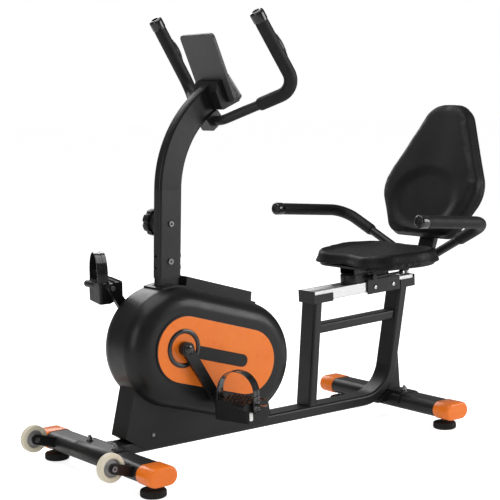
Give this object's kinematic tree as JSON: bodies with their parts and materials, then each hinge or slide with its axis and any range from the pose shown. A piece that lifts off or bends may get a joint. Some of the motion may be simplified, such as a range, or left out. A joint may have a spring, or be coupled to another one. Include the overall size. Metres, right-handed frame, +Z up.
{
  "type": "recumbent exercise bike",
  "caption": "Recumbent exercise bike with a shrouded belt drive, flywheel and magnetic brake, turning pedals, sliding seat with armrests, console and stabiliser bars.",
  "frame": {"origin": "on the floor, under the middle of the bike's overall box", "axes": "+Z up; +X toward the backrest, so the rider faces -X; the rider's left is -Y"},
  "size_m": [1.3932, 0.6322, 1.1442],
  "materials": {
    "black_paint": "satin powder coat",
    "steel": "zinc-plated, satin",
    "bright_steel": "brushed",
    "cast_steel": "turned, matt",
    "rail_aluminium": "clear anodised, satin",
    "shroud_plastic": "satin moulded",
    "orange_plastic": "smooth, half gloss",
    "dark_plastic": "satin moulded",
    "gloss_black_plastic": "gloss",
    "grey_plastic": "fine-grained matt",
    "light_grey_plastic": "satin",
    "ivory_plastic": "satin",
    "foot_rubber": "matt",
    "grip_foam": "soft foam, matt",
    "belt_rubber": "matt",
    "seat_cover": "grained vinyl over foam"
  },
  "bodies": {
    "frame": {"main_beam": "black_paint", "upright_tube": "black_paint", "seat_front_post": "black_paint", "frame_brace": "black_paint", "stabiliser_saddles": "black_paint", "rail_brackets": "black_paint", "front_stabiliser": "black_paint", "rear_stabiliser": "black_paint", "stabiliser_caps": "orange_plastic", "frame_bolts": "steel", "wheel_forks": "black_paint", "shroud_left": "shroud_plastic", "shroud_right": "shroud_plastic", "panel_left": "orange_plastic", "panel_right": "orange_plastic", "panel_inlays": "dark_plastic", "crank_bearings": "steel", "drive_belt": "belt_rubber", "flywheel_mount": "steel", "tension_cable": "belt_rubber", "handlebar_post": "black_paint", "knob_housing": "dark_plastic", "handlebar": "black_paint", "handlebar_grips": "grip_foam", "pulse_sensors": "bright_steel", "handlebar_clamp": "black_paint", "console_housing": "shroud_plastic", "tablet_panel": "grey_plastic", "console_screen": "gloss_black_plastic", "seat_rail": "rail_aluminium"},
    "crank_set": {"crank_axle": "steel", "drive_pulley": "dark_plastic", "crank_left": "black_paint", "crank_right": "black_paint", "pedal_spindles": "steel"},
    "left_pedal": {"pedal_left": "dark_plastic", "strap_left": "gloss_black_plastic"},
    "right_pedal": {"pedal_right": "dark_plastic", "strap_right": "gloss_black_plastic"},
    "flywheel_body": {"flywheel": "cast_steel"},
    "left_wheel": {"transport_wheel_left": "ivory_plastic"},
    "right_wheel": {"transport_wheel_right": "ivory_plastic"},
    "front_left_foot": {"foot_front_left": "foot_rubber"},
    "front_right_foot": {"foot_front_right": "foot_rubber"},
    "rear_left_foot": {"foot_rear_left": "foot_rubber"},
    "rear_right_foot": {"foot_rear_right": "foot_rubber"},
    "knob": {"tension_knob": "dark_plastic"},
    "magnet_arm": {"magnet_bracket": "steel"},
    "left_button": {"button_left": "light_grey_plastic"},
    "middle_button": {"button_middle": "light_grey_plastic"},
    "right_button": {"button_right": "light_grey_plastic"},
    "seat": {"seat_carriage": "black_paint", "back_upright": "black_paint", "seat_pan": "shroud_plastic", "seat_pad": "seat_cover", "backrest_shell": "shroud_plastic", "backrest_pad": "seat_cover", "armrest_tube": "black_paint", "armrest_grips": "grip_foam"},
    "lock_lever": {"seat_lock_lever": "black_paint"}
  },
  "joints": [
    {"name": "crank_spin", "type": "hinge", "parent": "frame", "child": "crank_set", "pos_m": [-0.3775, 0, 0.309], "axis": [0, -1, 0], "continuous": true},
    {"name": "pedal_left_spin", "type": "hinge", "parent": "crank_set", "child": "left_pedal", "pos_m": [-0.28491, 0, 0.16643], "axis": [0, -1, 0], "continuous": true},
    {"name": "pedal_right_spin", "type": "hinge", "parent": "crank_set", "child": "right_pedal", "pos_m": [-0.47009, 0, 0.45157], "axis": [0, -1, 0], "continuous": true},
    {"name": "flywheel_spin", "type": "hinge", "parent": "frame", "child": "flywheel_body", "pos_m": [-0.17786, 0, 0.25062], "axis": [0, -1, 0], "continuous": true},
    {"name": "left_wheel_spin", "type": "hinge", "parent": "frame", "child": "left_wheel", "pos_m": [-0.6615, -0.181, 0.077], "axis": [0, 1, 0], "continuous": true},
    {"name": "right_wheel_spin", "type": "hinge", "parent": "frame", "child": "right_wheel", "pos_m": [-0.6615, 0.181, 0.077], "axis": [0, 1, 0], "continuous": true},
    {"name": "front_left_foot_turn", "type": "hinge", "parent": "frame", "child": "front_left_foot", "pos_m": [-0.5715, -0.223, 0], "axis": [0, 0, 1], "range_deg": [-180, 180]},
    {"name": "front_right_foot_turn", "type": "hinge", "parent": "frame", "child": "front_right_foot", "pos_m": [-0.5715, 0.223, 0], "axis": [0, 0, 1], "range_deg": [-180, 180]},
    {"name": "rear_left_foot_turn", "type": "hinge", "parent": "frame", "child": "rear_left_foot", "pos_m": [0.4105, -0.2175, 0], "axis": [0, 0, 1], "range_deg": [-180, 180]},
    {"name": "rear_right_foot_turn", "type": "hinge", "parent": "frame", "child": "rear_right_foot", "pos_m": [0.4105, 0.2175, 0], "axis": [0, 0, 1], "range_deg": [-180, 180]},
    {"name": "tension_knob_turn", "type": "hinge", "parent": "frame", "child": "knob", "pos_m": [-0.36024, 0, 0.615], "axis": [0, 1, 0], "range_deg": [0, 315]},
    {"name": "magnet_arm_swing", "type": "hinge", "parent": "frame", "child": "magnet_arm", "pos_m": [-0.06604, 0, 0.29132], "axis": [0, 1, 0], "range_deg": [0, 6]},
    {"name": "left_button_press", "type": "slide", "parent": "frame", "child": "left_button", "axis": [-0.7976, 0, -0.6032], "range_m": [0, 0.0015], "stiffness_N_per_m": 400},
    {"name": "middle_button_press", "type": "slide", "parent": "frame", "child": "middle_button", "axis": [-0.7976, 0, -0.6032], "range_m": [0, 0.0015], "stiffness_N_per_m": 400},
    {"name": "right_button_press", "type": "slide", "parent": "frame", "child": "right_button", "axis": [-0.7976, 0, -0.6032], "range_m": [0, 0.0015], "stiffness_N_per_m": 400},
    {"name": "seat_slide", "type": "slide", "parent": "frame", "child": "seat", "axis": [-0.9993, 0, -0.0366], "range_m": [0, 0.125]},
    {"name": "seat_lock_lever_turn", "type": "hinge", "parent": "seat", "child": "lock_lever", "pos_m": [0.30385, 0, 0.41754], "axis": [0, 1, 0], "range_deg": [0, 25]}
  ],
  "couplings": [
    {"joint": "flywheel_spin", "follows": "crank_spin", "ratio": 5},
    {"joint": "magnet_arm_swing", "follows": "tension_knob_turn", "ratio": 0.019}
  ]
}
